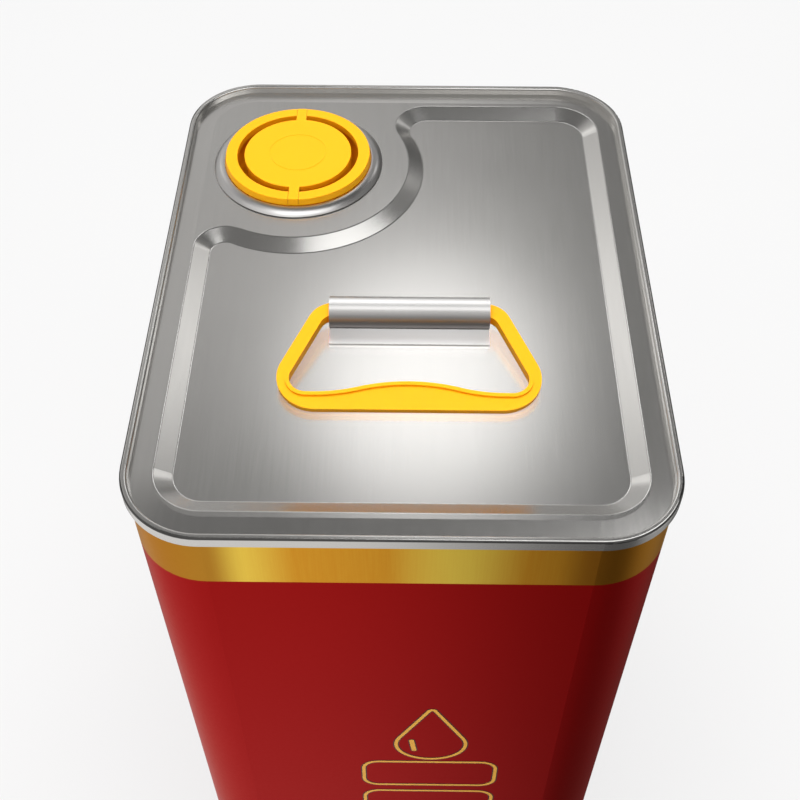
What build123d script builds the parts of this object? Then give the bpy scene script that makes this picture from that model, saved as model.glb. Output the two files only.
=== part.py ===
from build123d import *
import math
import os

# ---------------------------------------------------------------------------
# Rectangular ten-litre tinplate oil can with a pull-up spout and a swing handle.
# Frame: +Z up, origin on the ground under the middle of the can, front at -Y.
# All sizes in millimetres.
# ---------------------------------------------------------------------------

# Can outline, measured over the double seams
CAN_WIDTH = 168.0
CAN_DEPTH = 218.4
CAN_HEIGHT = 300.0
CORNER_RADIUS = 26.0

# Tinplate and double seam; the walls are given as insets from the seam's outer face
TIN = 0.4
SEAM_HEIGHT = 4.0
BODY_HOOK_OUT = 0.45
BODY_HOOK_IN = 0.85
END_HOOK_OUT = 0.90
END_HOOK_IN = 1.30
BODY_OUT = 1.40
BODY_IN = 1.80
CHUCK_OUT = 1.85
CHUCK_IN = 2.25
HOOK_GAP = 0.05
END_HOOK_TOP = 1.3
BODY_HOOK_FOOT = 3.3
SEAM_TOP_ROUND = 0.8
WELD_LAP_WIDTH = 1.2
WELD_LAP_PROUD = 0.15

# Lid: band that falls slightly towards the seam, sloping step and recessed panel
BAND_DROP = 2.2
BAND_FALL = 0.5
BAND_LEVEL_INSET = 9.2
PANEL_DROP = 2.9
STEP_WIDTH = 5.4
STEP_INSET_SIDE = 9.6
STEP_INSET_END = 11.2
STEP_CORNER_RADIUS = 15.5
STEP_ROUND = 0.9
BOSS_RADIUS = 41.7
BOSS_RUN_OUT_SIDE = 10.5
BOSS_RUN_OUT_BACK = 12.5

# Base
BASE_DROP = 2.2
BASE_STEP = 1.8
BASE_STEP_INSET = 9.0
BASE_STEP_WIDTH = 3.0

# Neck, gasket and crimp ring; heights are measured from the lid's band
SPOUT_X = -40.4
SPOUT_Y = 62.0
NECK_BORE = 28.8
NECK_LIP_RADIUS = 30.3
NECK_LIP_TOP = 0.6
GASKET_RADIUS = 29.9
GASKET_TOP = 0.8
FLANGE_RADIUS = 29.6
FLANGE_TOP = 1.4
RING_RADIUS = 31.6
RING_SHOULDER_RADIUS = 30.2
RING_SHOULDER_TOP = 1.55
RING_SHOULDER_SLOPE = 53.0
RING_CROWN_RADIUS = 28.1
RING_LIP_RADIUS = 27.6
RING_TOP = 2.2
RING_FOOT = 0.12
RING_TIN = 0.32
RING_HEM = 0.96

# Pull-up spout
FOLD_DEPTH = 22.0
SKIRT_WALL = 0.8
SKIRT_TOP_RADIUS = 27.9
SKIRT_FOLD_RADIUS = 22.9
SKIRT_HOOK = 2.6
TUBE_CLEAR = 0.25
TUBE_BORE = 15.2
TUBE_RADIUS = 16.8
TUBE_TOP = 2.5
TUBE_WEB = 1.2
TUBE_WEB_HEIGHT = 1.6
TUBE_WEB_TOP = 3.2
SEAL_LEVEL = -4.0
SEAL_THICKNESS = 0.6
PULL_RING_RADIUS = 8.5
PULL_RING_WIRE = 1.0
PULL_RING_LIFT = 3.0
PULL_POST = 1.6

# Cap and its two lifting bails
CAP_TOP = 4.9
DISC_RADIUS = 20.0
DISC_THICKNESS = 1.9
CAP_SKIRT_OUT = 19.5
CAP_SKIRT_IN = 17.9
CAP_SKIRT_FOOT = -9.0
BAIL_IN = 22.6
BAIL_OUT = 26.9
BAIL_FLARE = 0.5
BAIL_FOOT = 2.45
BRIDGE_HALF_WIDTH = 1.85
PARTING = 0.12
EDGE_ROUND = 0.25
MARK_RADIUS = 10.7
MARK_WIDTH = 0.4
MARK_DEPTH = 0.12

# Strap and handle; the handle's outline is measured from its pivot
HANDLE_X = 2.0
PIVOT_Y = -19.2
STRAP_LENGTH = 53.0
STRAP_TIN = 0.85
STRAP_EYE_RADIUS = 5.35
STRAP_FLANGE_REACH = 10.0
PIVOT_CLEARANCE = 0.08
HANDLE_DROOP = 5.6
HANDLE_THICKNESS = 2.5
GRIP_REACH = 39.7
TOP_EDGE = 3.1
OUTER_TOP_HALF = 30.6
OUTER_TOP_ROUND = 9.0
OUTER_GRIP_ROUND = 12.9
ARM_SLOPE = 23.2
ARM_WIDTH = 5.3
OPENING_TOP = -2.8
OPENING_LOW = -33.6
OPENING_HUMP = -29.4
OPENING_LOW_HALF = 30.0
HUMP_RADIUS = 60.0
OPENING_TOP_ROUND = 5.0
OPENING_GRIP_ROUND = 5.5
BEAD_WIDTH = 1.3
BEAD_HEIGHT = 0.9
UNDERSIDE_ROUND = 1.0

# Worked out from the above
RIM_Z = CAN_HEIGHT
BAND_Z = RIM_Z - BAND_DROP
PANEL_Z = BAND_Z - PANEL_DROP
PIVOT_Z = PANEL_Z + STRAP_EYE_RADIUS
EYE_BORE = STRAP_EYE_RADIUS - STRAP_TIN
PIVOT_RADIUS = EYE_BORE - PIVOT_CLEARANCE
HOOK_CREST = TIN + HOOK_GAP
NECK_WALL = NECK_BORE + TIN
DISC_FOOT = CAP_TOP - DISC_THICKNESS
SPOUT_AXIS = (SPOUT_X, SPOUT_Y)
SPOUT_LINE = Axis((SPOUT_X, SPOUT_Y, 0), (0, 0, 1))
SPOUT_SECTION = Plane(origin=(SPOUT_X, SPOUT_Y, BAND_Z), x_dir=(1, 0, 0), z_dir=(0, -1, 0))


def finish(builder, name):
    """Labels a piece and writes its file."""
    builder.part.label = name
    export_step(builder.part, f"parts/{name}.step")


def draw_outline(inset, mode=Mode.ADD):
    """Draws the can's plan outline in the open sketch, moved in from the seam's outer face."""
    width = CAN_WIDTH - 2 * inset
    depth = CAN_DEPTH - 2 * inset
    RectangleRounded(width, depth, CORNER_RADIUS - inset, mode=mode)


def can_outline(inset, z, opening=None):
    """Face inside the can's plan outline; with an opening inset it becomes a ring."""
    with BuildSketch(Plane.XY.offset(z)) as outline:
        draw_outline(inset)
        if opening is not None:
            draw_outline(opening, Mode.SUBTRACT)
    return outline.sketch


def add_layer(outer_inset, inner_inset, z_low, z_high):
    """Adds a ring that follows the can's outline to the part being built."""
    extrude(can_outline(outer_inset, z_low, inner_inset), amount=z_high - z_low)


def ring_face(outer, inner, height):
    """Disc or annulus about the spout's axis, at a height above the lid's band."""
    with BuildSketch(Plane.XY.offset(BAND_Z + height)) as ring:
        with Locations(SPOUT_AXIS):
            Circle(outer)
            if inner:
                Circle(inner, mode=Mode.SUBTRACT)
    return ring.sketch


def on_circle(centre, radius, degrees):
    """Point on a circle in plan."""
    angle = math.radians(degrees)
    return (centre[0] + radius * math.cos(angle), centre[1] + radius * math.sin(angle))


def bearing(start, end):
    """Direction from one plan point to another, in degrees from 0 to 360."""
    return math.degrees(math.atan2(end[1] - start[1], end[0] - start[0])) % 360


def panel_outline(inset, z):
    """Face of the recessed panel, which bends round the spout's boss at the back left.

    Two run-out arcs lead from the straight sides into the arc about the spout.
    """
    side = CAN_WIDTH / 2 - STEP_INSET_SIDE - inset
    end = CAN_DEPTH / 2 - STEP_INSET_END - inset
    corner = STEP_CORNER_RADIUS - inset
    boss = BOSS_RADIUS + inset
    side_round = BOSS_RUN_OUT_SIDE - inset
    back_round = BOSS_RUN_OUT_BACK - inset
    side_x = -side + side_round
    side_y = SPOUT_Y - math.sqrt((boss + side_round) ** 2 - (side_x - SPOUT_X) ** 2)
    back_y = end - back_round
    back_x = SPOUT_X + math.sqrt((boss + back_round) ** 2 - (back_y - SPOUT_Y) ** 2)
    side_turn = bearing((side_x, side_y), SPOUT_AXIS)
    back_turn = bearing((back_x, back_y), SPOUT_AXIS)
    side_touch = on_circle((side_x, side_y), side_round, side_turn)
    back_touch = on_circle((back_x, back_y), back_round, back_turn)
    with BuildSketch(Plane.XY.offset(z)) as outline:
        with BuildLine():
            Line((-side, -end + corner), (-side, side_y))
            ThreePointArc(
                (-side, side_y),
                on_circle((side_x, side_y), side_round, (180 + side_turn) / 2),
                side_touch,
            )
            ThreePointArc(side_touch, on_circle(SPOUT_AXIS, boss, -45), back_touch)
            ThreePointArc(
                back_touch,
                on_circle((back_x, back_y), back_round, (90 + back_turn) / 2),
                (back_x, end),
            )
            Line((back_x, end), (side - corner, end))
            ThreePointArc(
                (side - corner, end),
                on_circle((side - corner, end - corner), corner, 45),
                (side, end - corner),
            )
            Line((side, end - corner), (side, -end + corner))
            ThreePointArc(
                (side, -end + corner),
                on_circle((side - corner, -end + corner), corner, -45),
                (side - corner, -end),
            )
            Line((side - corner, -end), (-side + corner, -end))
            ThreePointArc(
                (-side + corner, -end),
                on_circle((-side + corner, -end + corner), corner, -135),
                (-side, -end + corner),
            )
        make_face()
    return outline.sketch


os.makedirs("parts", exist_ok=True)

# ---------------------------------------------------------------------------
# Body: a rolled and welded wall whose two ends are hooked over into the seams
# ---------------------------------------------------------------------------
with BuildPart() as body_shell:
    add_layer(BODY_OUT, BODY_IN, HOOK_CREST, CAN_HEIGHT - HOOK_CREST)
    # Upper hook
    add_layer(BODY_HOOK_OUT, BODY_IN, CAN_HEIGHT - HOOK_CREST - TIN, CAN_HEIGHT - HOOK_CREST)
    add_layer(BODY_HOOK_OUT, BODY_HOOK_IN, CAN_HEIGHT - BODY_HOOK_FOOT, CAN_HEIGHT - HOOK_CREST)
    # Lower hook
    add_layer(BODY_HOOK_OUT, BODY_IN, HOOK_CREST, HOOK_CREST + TIN)
    add_layer(BODY_HOOK_OUT, BODY_HOOK_IN, HOOK_CREST, BODY_HOOK_FOOT)
    # Lap of the welded side seam, down the middle of the back
    with BuildSketch(Plane.XY.offset(SEAM_HEIGHT + TIN)):
        with Locations((0, CAN_DEPTH / 2 - BODY_OUT)):
            Rectangle(WELD_LAP_WIDTH, 2 * WELD_LAP_PROUD)
    extrude(amount=CAN_HEIGHT - 2 * (SEAM_HEIGHT + TIN))
finish(body_shell, "body_shell")

# ---------------------------------------------------------------------------
# Lid: seam, chuck wall, falling band, sloping step, recessed panel and neck
# ---------------------------------------------------------------------------
# The slivers that the falling band leaves free, above the sheet and under it
with BuildPart() as upper_fall:
    add_layer(0, BAND_LEVEL_INSET, BAND_Z - BAND_FALL, BAND_Z)
    loft(
        [can_outline(CHUCK_IN, BAND_Z - BAND_FALL), can_outline(BAND_LEVEL_INSET, BAND_Z)],
        ruled=True,
        mode=Mode.SUBTRACT,
    )

with BuildPart() as lower_fall:
    with Locations((0, 0, -TIN)):
        add(upper_fall.part)

with BuildPart() as lid_hollow:
    # The space under the lid's sheet, one tin thickness below its upper face
    extrude(can_outline(CHUCK_IN, PANEL_Z - 2 * TIN), amount=PANEL_DROP + TIN)
    loft(
        [panel_outline(STEP_WIDTH, PANEL_Z - TIN), panel_outline(0, BAND_Z - TIN)],
        ruled=True,
        mode=Mode.SUBTRACT,
    )
    add(lower_fall.part, mode=Mode.SUBTRACT)

with BuildPart() as top_end:
    extrude(can_outline(CHUCK_OUT, PANEL_Z - TIN), amount=PANEL_DROP + TIN)
    loft(
        [panel_outline(STEP_WIDTH, PANEL_Z), panel_outline(0, BAND_Z)],
        ruled=True,
        mode=Mode.SUBTRACT,
    )
    step_edges = top_end.edges().filter_by(
        lambda edge: edge.bounding_box().size.Z < HOOK_GAP
        and edge.center().Z > PANEL_Z - HOOK_GAP
        and abs(edge.center().X) < CAN_WIDTH / 2 - STEP_INSET_SIDE / 2
        and abs(edge.center().Y) < CAN_DEPTH / 2 - STEP_INSET_END / 2
    )
    fillet(step_edges, radius=STEP_ROUND)
    add(upper_fall.part, mode=Mode.SUBTRACT)
    add(lid_hollow.part, mode=Mode.SUBTRACT)
    # Double seam: chuck wall, crest, outer wall and hook
    add_layer(CHUCK_OUT, CHUCK_IN, BAND_Z - BAND_FALL - TIN, RIM_Z)
    add_layer(0, CHUCK_IN, RIM_Z - TIN, RIM_Z)
    add_layer(0, TIN, RIM_Z - SEAM_HEIGHT, RIM_Z)
    add_layer(0, END_HOOK_IN, RIM_Z - SEAM_HEIGHT, RIM_Z - SEAM_HEIGHT + TIN)
    add_layer(END_HOOK_OUT, END_HOOK_IN, RIM_Z - SEAM_HEIGHT, RIM_Z - END_HOOK_TOP)
    fillet(top_end.faces().sort_by(Axis.Z)[-1].edges(), radius=SEAM_TOP_ROUND)
    # Neck: an upstand round the bore with its lip turned out
    extrude(ring_face(NECK_BORE, 0, -TIN), amount=TIN, mode=Mode.SUBTRACT)
    extrude(ring_face(NECK_WALL, NECK_BORE, -TIN), amount=NECK_LIP_TOP + TIN)
    extrude(ring_face(NECK_LIP_RADIUS, NECK_BORE, NECK_LIP_TOP - TIN), amount=TIN)
finish(top_end, "top_end")

with BuildPart() as top_seam_seal:
    add_layer(BODY_HOOK_IN, BODY_OUT, RIM_Z - END_HOOK_TOP, RIM_Z - HOOK_CREST - TIN)
finish(top_seam_seal, "top_seam_seal")

# ---------------------------------------------------------------------------
# Base: the same seam turned over, with a stepped-in floor
# ---------------------------------------------------------------------------
FLOOR_Z = BASE_DROP + BASE_STEP
STEP_FOOT = BASE_STEP_INSET + BASE_STEP_WIDTH
with BuildPart() as base_hollow:
    # The space over the base's sheet
    extrude(can_outline(CHUCK_IN, BASE_DROP + TIN), amount=BASE_STEP + TIN)
    loft(
        [can_outline(BASE_STEP_INSET, BASE_DROP + TIN), can_outline(STEP_FOOT, FLOOR_Z + TIN)],
        ruled=True,
        mode=Mode.SUBTRACT,
    )

with BuildPart() as bottom_end:
    extrude(can_outline(CHUCK_OUT, BASE_DROP), amount=BASE_STEP + TIN)
    loft(
        [can_outline(BASE_STEP_INSET, BASE_DROP), can_outline(STEP_FOOT, FLOOR_Z)],
        ruled=True,
        mode=Mode.SUBTRACT,
    )
    add(base_hollow.part, mode=Mode.SUBTRACT)
    add_layer(CHUCK_OUT, CHUCK_IN, 0, BASE_DROP + TIN)
    add_layer(0, CHUCK_IN, 0, TIN)
    add_layer(0, TIN, 0, SEAM_HEIGHT)
    add_layer(0, END_HOOK_IN, SEAM_HEIGHT - TIN, SEAM_HEIGHT)
    add_layer(END_HOOK_OUT, END_HOOK_IN, END_HOOK_TOP, SEAM_HEIGHT)
    fillet(bottom_end.faces().sort_by(Axis.Z)[0].edges(), radius=SEAM_TOP_ROUND)
finish(bottom_end, "bottom_end")

with BuildPart() as bottom_seam_seal:
    add_layer(BODY_HOOK_IN, BODY_OUT, HOOK_CREST + TIN, END_HOOK_TOP)
finish(bottom_seam_seal, "bottom_seam_seal")

# ---------------------------------------------------------------------------
# Closure on the neck: gasket and crimp ring
# ---------------------------------------------------------------------------
with BuildPart() as neck_gasket:
    extrude(ring_face(GASKET_RADIUS, NECK_BORE, NECK_LIP_TOP), amount=GASKET_TOP - NECK_LIP_TOP)
finish(neck_gasket, "neck_gasket")

RING_INNER_FOOT = (RING_RADIUS - RING_TIN, RING_FOOT + RING_TIN)
RING_INNER_CROWN = (RING_CROWN_RADIUS, RING_TOP - RING_TIN)
RING_SHOULDER = (RING_SHOULDER_RADIUS, RING_SHOULDER_TOP)
RING_INNER_SHOULDER = on_circle(RING_SHOULDER, RING_TIN, RING_SHOULDER_SLOPE - 180)
with BuildPart() as crimp_ring:
    with BuildSketch(SPOUT_SECTION):
        with BuildLine():
            Line((RING_LIP_RADIUS, RING_TOP), (RING_CROWN_RADIUS, RING_TOP))
            ThreePointArc(
                (RING_CROWN_RADIUS, RING_TOP), RING_SHOULDER, (RING_RADIUS, RING_FOOT + RING_TIN)
            )
            Polyline(
                (RING_RADIUS, RING_FOOT + RING_TIN),
                (RING_RADIUS - RING_TIN / 2, RING_FOOT),
                (RING_RADIUS - RING_HEM, RING_FOOT),
                (RING_RADIUS - RING_HEM, RING_FOOT + RING_TIN),
                RING_INNER_FOOT,
            )
            ThreePointArc(RING_INNER_FOOT, RING_INNER_SHOULDER, RING_INNER_CROWN)
            Polyline(
                RING_INNER_CROWN,
                (RING_LIP_RADIUS + RING_TIN, RING_TOP - RING_TIN),
                (RING_LIP_RADIUS + RING_TIN, FLANGE_TOP),
                (RING_LIP_RADIUS, FLANGE_TOP),
                (RING_LIP_RADIUS, RING_TOP),
            )
        make_face()
    revolve(axis=SPOUT_LINE)
finish(crimp_ring, "crimp_ring")

# ---------------------------------------------------------------------------
# Spout: folding skirt, rigid mouth and tear-out seal
# ---------------------------------------------------------------------------
FOLD_TOP = SKIRT_WALL - FOLD_DEPTH
with BuildPart() as spout_skirt:
    with BuildSketch(SPOUT_SECTION):
        with BuildLine():
            Polyline(
                (SKIRT_TOP_RADIUS - SKIRT_WALL, FLANGE_TOP),
                (FLANGE_RADIUS, FLANGE_TOP),
                (FLANGE_RADIUS, GASKET_TOP),
                (SKIRT_TOP_RADIUS, GASKET_TOP),
                (SKIRT_FOLD_RADIUS, FOLD_TOP),
                (SKIRT_FOLD_RADIUS - SKIRT_WALL, -FOLD_DEPTH),
                (SKIRT_FOLD_RADIUS - SKIRT_HOOK, -FOLD_DEPTH),
                (SKIRT_FOLD_RADIUS - SKIRT_HOOK, FOLD_TOP),
                (SKIRT_FOLD_RADIUS - SKIRT_WALL, FOLD_TOP),
                close=True,
            )
        make_face()
    revolve(axis=SPOUT_LINE)
finish(spout_skirt, "spout_skirt")

WEB_RADIUS = SKIRT_FOLD_RADIUS - SKIRT_WALL - TUBE_CLEAR
WEB_FOOT = FOLD_TOP + TUBE_CLEAR
with BuildPart() as spout_tube:
    with BuildSketch(SPOUT_SECTION):
        with BuildLine():
            Polyline(
                (TUBE_BORE, WEB_FOOT),
                (WEB_RADIUS, WEB_FOOT),
                (WEB_RADIUS, WEB_FOOT + SKIRT_WALL),
                (TUBE_RADIUS + TUBE_WEB, WEB_FOOT + TUBE_WEB_HEIGHT),
                (TUBE_RADIUS, WEB_FOOT + TUBE_WEB_TOP),
                (TUBE_RADIUS, TUBE_TOP),
                (TUBE_BORE, TUBE_TOP),
                close=True,
            )
        make_face()
    revolve(axis=SPOUT_LINE)
finish(spout_tube, "spout_tube")

SEAL_TOP = SEAL_LEVEL + SEAL_THICKNESS
with BuildPart() as tear_out_seal:
    extrude(ring_face(TUBE_BORE, 0, SEAL_LEVEL), amount=SEAL_THICKNESS)
    with BuildSketch(Plane.XY.offset(BAND_Z + SEAL_TOP)):
        with Locations((SPOUT_X, SPOUT_Y - PULL_RING_RADIUS)):
            Circle(PULL_POST)
    extrude(amount=PULL_RING_LIFT)
    with BuildSketch(SPOUT_SECTION):
        with Locations((PULL_RING_RADIUS, SEAL_TOP + PULL_RING_LIFT)):
            Circle(PULL_RING_WIRE)
    revolve(axis=SPOUT_LINE)
finish(tear_out_seal, "tear_out_seal")

# ---------------------------------------------------------------------------
# Cap: liner, disc with its skirt and two bridges, and the two lifting bails
# ---------------------------------------------------------------------------
with BuildPart() as cap_liner:
    extrude(ring_face(CAP_SKIRT_IN - TUBE_CLEAR, 0, TUBE_TOP), amount=DISC_FOOT - TUBE_TOP)
finish(cap_liner, "cap_liner")


def bail_section():
    """Cross-section of the lifting ring, wider at its foot than at its top."""
    with BuildSketch(SPOUT_SECTION) as section:
        with BuildLine():
            Polyline(
                (BAIL_IN, BAIL_FOOT),
                (BAIL_OUT + BAIL_FLARE, BAIL_FOOT),
                (BAIL_OUT, CAP_TOP),
                (BAIL_IN, CAP_TOP),
                close=True,
            )
        make_face()
    return section.sketch


with BuildPart() as bridges:
    # The two bridges that carry the bails, cut from the same ring
    revolve(bail_section(), axis=SPOUT_LINE)
    extrude(ring_face(BAIL_IN, CAP_SKIRT_OUT, BAIL_FOOT), amount=CAP_TOP - BAIL_FOOT)
    with BuildSketch(Plane.XY.offset(BAND_Z)):
        with Locations(SPOUT_AXIS):
            Rectangle(2 * BRIDGE_HALF_WIDTH, 3 * BAIL_OUT)
    extrude(amount=2 * CAP_TOP, mode=Mode.INTERSECT)

with BuildPart() as cap:
    extrude(ring_face(DISC_RADIUS, 0, DISC_FOOT), amount=DISC_THICKNESS)
    fillet(cap.faces().sort_by(Axis.Z)[-1].edges(), radius=EDGE_ROUND)
    extrude(
        ring_face(CAP_SKIRT_OUT, CAP_SKIRT_IN, CAP_SKIRT_FOOT), amount=DISC_FOOT - CAP_SKIRT_FOOT
    )
    extrude(
        ring_face(MARK_RADIUS, MARK_RADIUS - MARK_WIDTH, CAP_TOP - MARK_DEPTH),
        amount=MARK_DEPTH,
        mode=Mode.SUBTRACT,
    )
    add(bridges.part)
finish(cap, "cap")


def half_bail(side):
    """One half of the lifting ring: the left one for side -1, the right one for +1."""
    parting = Plane(
        origin=(SPOUT_X + side * (BRIDGE_HALF_WIDTH + PARTING), SPOUT_Y, BAND_Z),
        z_dir=(side, 0, 0),
    )
    with BuildPart() as bail:
        revolve(bail_section(), axis=SPOUT_LINE)
        fillet(bail.faces().sort_by(Axis.Z)[-1].edges(), radius=EDGE_ROUND)
        split(bisect_by=parting, keep=Keep.TOP)
    return bail


finish(half_bail(-1), "bail_left")
finish(half_bail(1), "bail_right")

# ---------------------------------------------------------------------------
# Strap: a rolled eye with one flat flange towards the front
# ---------------------------------------------------------------------------
STRAP_END = Plane(
    origin=(HANDLE_X - STRAP_LENGTH / 2, PIVOT_Y, PIVOT_Z), x_dir=(0, 1, 0), z_dir=(1, 0, 0)
)
with BuildPart() as handle_strap:
    with BuildSketch(STRAP_END):
        Circle(STRAP_EYE_RADIUS)
        with Locations((-STRAP_FLANGE_REACH / 2, STRAP_TIN / 2 - STRAP_EYE_RADIUS)):
            Rectangle(STRAP_FLANGE_REACH, STRAP_TIN)
        Circle(EYE_BORE, mode=Mode.SUBTRACT)
    extrude(amount=STRAP_LENGTH)
finish(handle_strap, "handle_strap")

# ---------------------------------------------------------------------------
# Handle: flat trapezoid frame with a beaded opening and a round pivot bar
# ---------------------------------------------------------------------------
DROOP = math.radians(HANDLE_DROOP)
SLOPE = math.tan(math.radians(ARM_SLOPE))
HANDLE_PLANE = Plane(
    origin=(HANDLE_X, PIVOT_Y, PIVOT_Z),
    x_dir=(1, 0, 0),
    z_dir=(0, -math.sin(DROOP), math.cos(DROOP)),
)
HANDLE_NORMAL = Axis(HANDLE_PLANE.origin, HANDLE_PLANE.z_dir)
UPPER_FACE = HANDLE_PLANE.offset(HANDLE_THICKNESS / 2)
LOWER_FACE = HANDLE_PLANE.offset(-HANDLE_THICKNESS / 2)


def arm_half(y, inset=0.0):
    """Half width of the handle at a distance y from the pivot, moved in by inset."""
    return OUTER_TOP_HALF + (TOP_EDGE - y) * SLOPE - inset


def handle_outline(plane):
    """Outer face of the handle: a rounded trapezoid, wider at the grip."""
    grip_half = arm_half(-GRIP_REACH)
    with BuildSketch(plane) as outline:
        with BuildLine():
            Polyline(
                (-OUTER_TOP_HALF, TOP_EDGE),
                (OUTER_TOP_HALF, TOP_EDGE),
                (grip_half, -GRIP_REACH),
                (-grip_half, -GRIP_REACH),
                close=True,
            )
        make_face()
        fillet(outline.vertices().group_by(Axis.Y)[-1], radius=OUTER_TOP_ROUND)
        fillet(outline.vertices().group_by(Axis.Y)[0], radius=OUTER_GRIP_ROUND)
    return outline.sketch


def opening_outline(plane, grow=0.0):
    """Opening of the handle, whose grip side swells inwards at the middle.

    The swelling is a crest arc with a tangent valley arc on each side.
    """
    top = arm_half(OPENING_TOP, ARM_WIDTH)
    low = arm_half(OPENING_LOW, ARM_WIDTH)
    turn = 2 * math.degrees(math.atan((OPENING_HUMP - OPENING_LOW) / OPENING_LOW_HALF))
    valley_radius = OPENING_LOW_HALF / math.sin(math.radians(turn)) - HUMP_RADIUS
    crest_centre = (0, OPENING_HUMP - HUMP_RADIUS)
    valley_centre = (OPENING_LOW_HALF, OPENING_LOW + valley_radius)
    crest_end = on_circle(crest_centre, HUMP_RADIUS, 90 - turn)
    valley_middle = on_circle(valley_centre, valley_radius, -90 - turn / 2)
    with BuildSketch(plane) as outline:
        with BuildLine():
            Line((-top, OPENING_TOP), (top, OPENING_TOP))
            Line((top, OPENING_TOP), (low, OPENING_LOW))
            Line((low, OPENING_LOW), (OPENING_LOW_HALF, OPENING_LOW))
            ThreePointArc((OPENING_LOW_HALF, OPENING_LOW), valley_middle, crest_end)
            ThreePointArc(crest_end, (0, OPENING_HUMP), (-crest_end[0], crest_end[1]))
            ThreePointArc(
                (-crest_end[0], crest_end[1]),
                (-valley_middle[0], valley_middle[1]),
                (-OPENING_LOW_HALF, OPENING_LOW),
            )
            Line((-OPENING_LOW_HALF, OPENING_LOW), (-low, OPENING_LOW))
            Line((-low, OPENING_LOW), (-top, OPENING_TOP))
        make_face()
        fillet(outline.vertices().group_by(Axis.Y)[-1], radius=OPENING_TOP_ROUND)
        grip_corners = outline.vertices().sort_by(Axis.X)
        fillet([grip_corners[0], grip_corners[-1]], radius=OPENING_GRIP_ROUND)
        if grow:
            offset(amount=grow)
    return outline.sketch


with BuildPart() as handle:
    extrude(handle_outline(LOWER_FACE), amount=HANDLE_THICKNESS)
    fillet(handle.faces().sort_by(HANDLE_NORMAL)[0].edges(), radius=UNDERSIDE_ROUND)
    extrude(opening_outline(UPPER_FACE, BEAD_WIDTH), amount=BEAD_HEIGHT)
    extrude(
        opening_outline(LOWER_FACE), amount=HANDLE_THICKNESS + BEAD_HEIGHT, mode=Mode.SUBTRACT
    )
    with BuildSketch(STRAP_END):
        Circle(PIVOT_RADIUS)
    extrude(amount=STRAP_LENGTH)
finish(handle, "handle")
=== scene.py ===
"""Ten-litre motor oil can: materials, print, folding skirt and studio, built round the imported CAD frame."""

import math

import bmesh
import bpy
from mathutils import Matrix, Quaternion, Vector


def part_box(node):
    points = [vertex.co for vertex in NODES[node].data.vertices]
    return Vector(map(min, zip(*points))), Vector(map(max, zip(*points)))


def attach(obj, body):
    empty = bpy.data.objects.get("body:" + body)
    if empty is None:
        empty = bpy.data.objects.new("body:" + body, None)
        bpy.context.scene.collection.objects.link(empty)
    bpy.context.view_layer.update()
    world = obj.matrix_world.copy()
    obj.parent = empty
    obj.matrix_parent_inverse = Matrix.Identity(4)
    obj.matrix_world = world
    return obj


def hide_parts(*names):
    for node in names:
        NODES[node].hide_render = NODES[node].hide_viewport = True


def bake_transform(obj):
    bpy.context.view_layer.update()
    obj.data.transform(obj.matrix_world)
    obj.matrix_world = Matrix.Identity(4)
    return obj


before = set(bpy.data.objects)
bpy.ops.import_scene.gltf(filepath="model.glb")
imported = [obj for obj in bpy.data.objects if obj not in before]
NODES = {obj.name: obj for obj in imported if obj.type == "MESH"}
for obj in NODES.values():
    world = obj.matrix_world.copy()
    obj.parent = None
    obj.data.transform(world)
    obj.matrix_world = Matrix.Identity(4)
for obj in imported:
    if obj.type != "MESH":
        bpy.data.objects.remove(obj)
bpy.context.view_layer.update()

# ---------------------------------------------------------------------------
# Places, read from the frame (metres)
# ---------------------------------------------------------------------------
MM = 0.001
LID_LOW, LID_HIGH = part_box("top_end")
TUBE_LOW, TUBE_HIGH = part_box("spout_tube")
SKIRT_LOW, SKIRT_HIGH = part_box("spout_skirt")
STRAP_LOW, STRAP_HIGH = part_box("handle_strap")
RIM_Z = LID_HIGH.z
SPOUT_X = (TUBE_LOW.x + TUBE_HIGH.x) / 2
SPOUT_Y = (TUBE_LOW.y + TUBE_HIGH.y) / 2
WALL_INSET = 1.4 * MM
FRONT_Y = LID_LOW.y + WALL_INSET


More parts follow.
